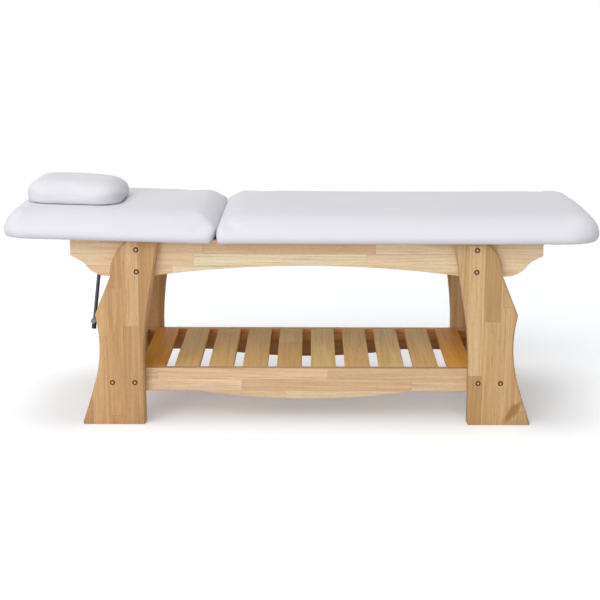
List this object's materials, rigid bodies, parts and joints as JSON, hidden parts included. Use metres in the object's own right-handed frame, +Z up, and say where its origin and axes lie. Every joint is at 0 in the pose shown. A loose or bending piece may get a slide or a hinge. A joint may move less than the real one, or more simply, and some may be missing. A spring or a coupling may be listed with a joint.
{
  "type": "treatment bed",
  "caption": "Padded treatment bed with a hinged back section, loose head pillow, profiled timber legs, arched side rails and an open slatted shelf.",
  "frame": {"origin": "on the floor, under the middle of the padded top's length and width", "axes": "+X along the length towards the foot end, +Y to the rear side, +Z up; the side seen faces -Y"},
  "size_m": [1.9, 0.7, 0.7769],
  "materials": {
    "frame_wood": "clear satin lacquer",
    "board": "raw plywood",
    "upholstery": "fine-grained satin",
    "bolt_metal": "dark bronze, satin",
    "fitting_steel": "zinc plated",
    "rod_steel": "satin",
    "cap_plastic": "matte",
    "bumper_rubber": "matte"
  },
  "bodies": {
    "base": {"cross_rail_foot": "frame_wood", "cross_rail_hinge": "frame_wood", "cross_rail_middle": "frame_wood", "hinge_fixed_leaves": "fitting_steel", "hinge_pins": "fitting_steel", "leg_bolt_heads": "bolt_metal", "leg_front_foot": "frame_wood", "leg_front_head": "frame_wood", "leg_rear_foot": "frame_wood", "leg_rear_head": "frame_wood", "leg_section_board": "board", "leg_section_cushion": "upholstery", "prop_rack_front": "frame_wood", "prop_rack_rear": "frame_wood", "rest_bumpers": "bumper_rubber", "shelf_end_rail_foot": "frame_wood", "shelf_end_rail_head": "frame_wood", "shelf_rail_front": "frame_wood", "shelf_rail_rear": "frame_wood", "shelf_slat_01": "frame_wood", "shelf_slat_02": "frame_wood", "shelf_slat_03": "frame_wood", "shelf_slat_04": "frame_wood", "shelf_slat_05": "frame_wood", "shelf_slat_06": "frame_wood", "shelf_slat_07": "frame_wood", "shelf_slat_08": "frame_wood", "shelf_slat_09": "frame_wood", "shelf_slat_10": "frame_wood", "side_rail_front": "frame_wood", "side_rail_rear": "frame_wood", "slat_ledger_front": "frame_wood", "slat_ledger_rear": "frame_wood"},
    "back_section": {"back_section_board": "board", "back_section_cushion": "upholstery", "hinge_moving_leaves": "fitting_steel", "prop_brackets": "fitting_steel", "prop_pivot_pins": "fitting_steel"},
    "prop": {"prop_frame": "rod_steel", "prop_arm_caps": "cap_plastic", "prop_bar_caps": "cap_plastic"},
    "pillow": {"pillow": "upholstery"}
  },
  "joints": [
    {"name": "back_lift", "type": "hinge", "parent": "base", "child": "back_section", "pos_m": [-0.268, 0, 0.63], "axis": [0, 1, 0], "range_deg": [0, 38.4]},
    {"name": "prop_swing", "type": "hinge", "parent": "back_section", "child": "prop", "pos_m": [-0.65319, 0, 0.59274], "axis": [0, 1, 0], "range_deg": [-83, 20]},
    {"name": "pillow_lift", "type": "slide", "parent": "back_section", "child": "pillow", "axis": [0, 0, 1], "range_m": [0, 0.15]}
  ]
}
